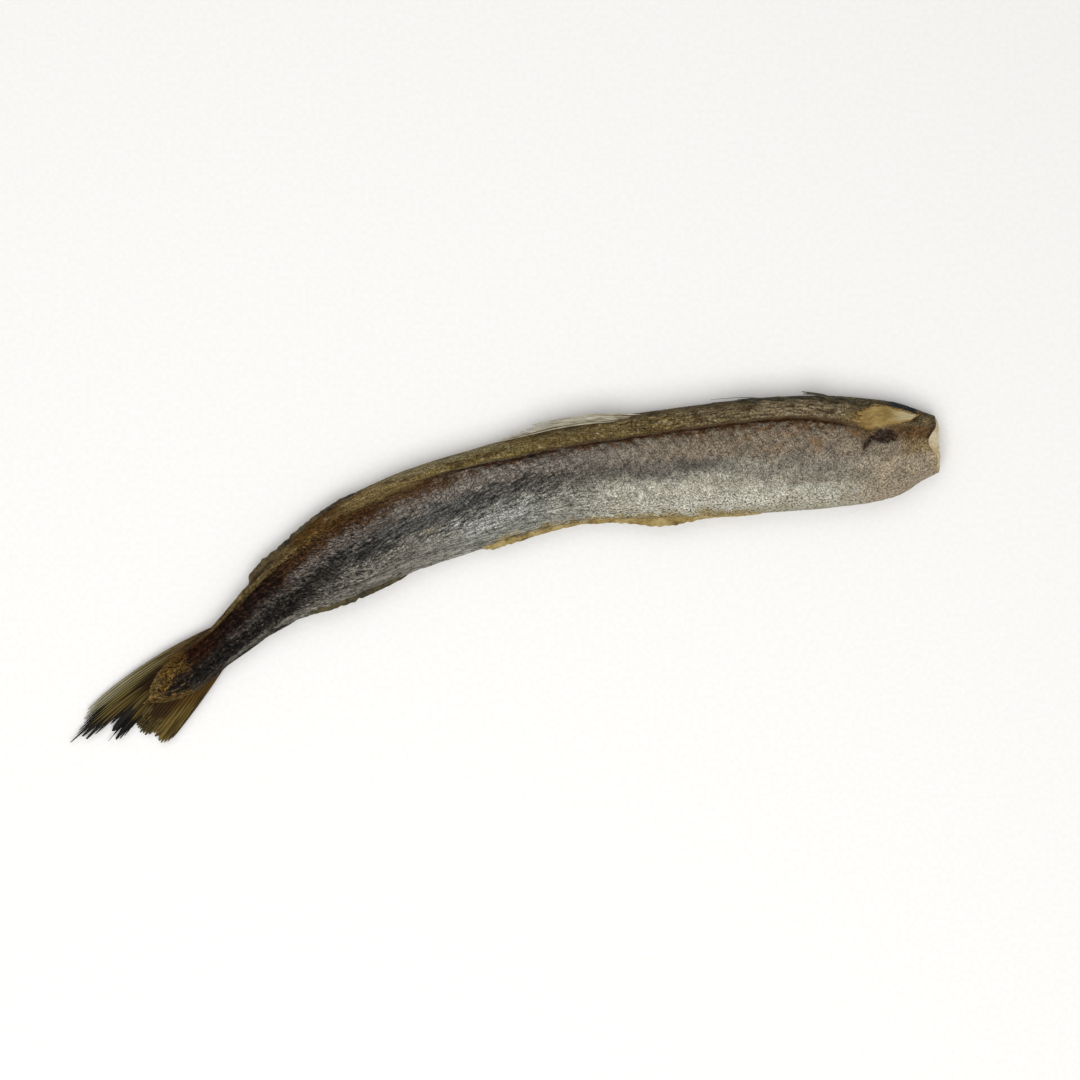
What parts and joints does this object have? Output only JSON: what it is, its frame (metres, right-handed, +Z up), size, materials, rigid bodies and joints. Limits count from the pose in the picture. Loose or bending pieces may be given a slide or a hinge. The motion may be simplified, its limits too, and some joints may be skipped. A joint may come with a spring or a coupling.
{
  "type": "dried blue whiting",
  "caption": "Headless dried blue whiting lying on its flank, wrinkled silvery skin, olive back, hollow cut end and a frayed forked tail curled to one side.",
  "frame": {"origin": "centre of the bounding box in plan, on the floor that the fish lies on", "axes": "+X towards the cut head end, +Y towards the back, +Z up out of the upper flank"},
  "size_m": [0.1917, 0.0766, 0.0099],
  "materials": {
    "dried_fish_skin": "dry wrinkled skin, satin on the silvery flank, matt on the olive back, amber at the torn flesh and the fins"
  },
  "bodies": {
    "root": {"dried_whiting": "dried_fish_skin"}
  },
  "joints": []
}
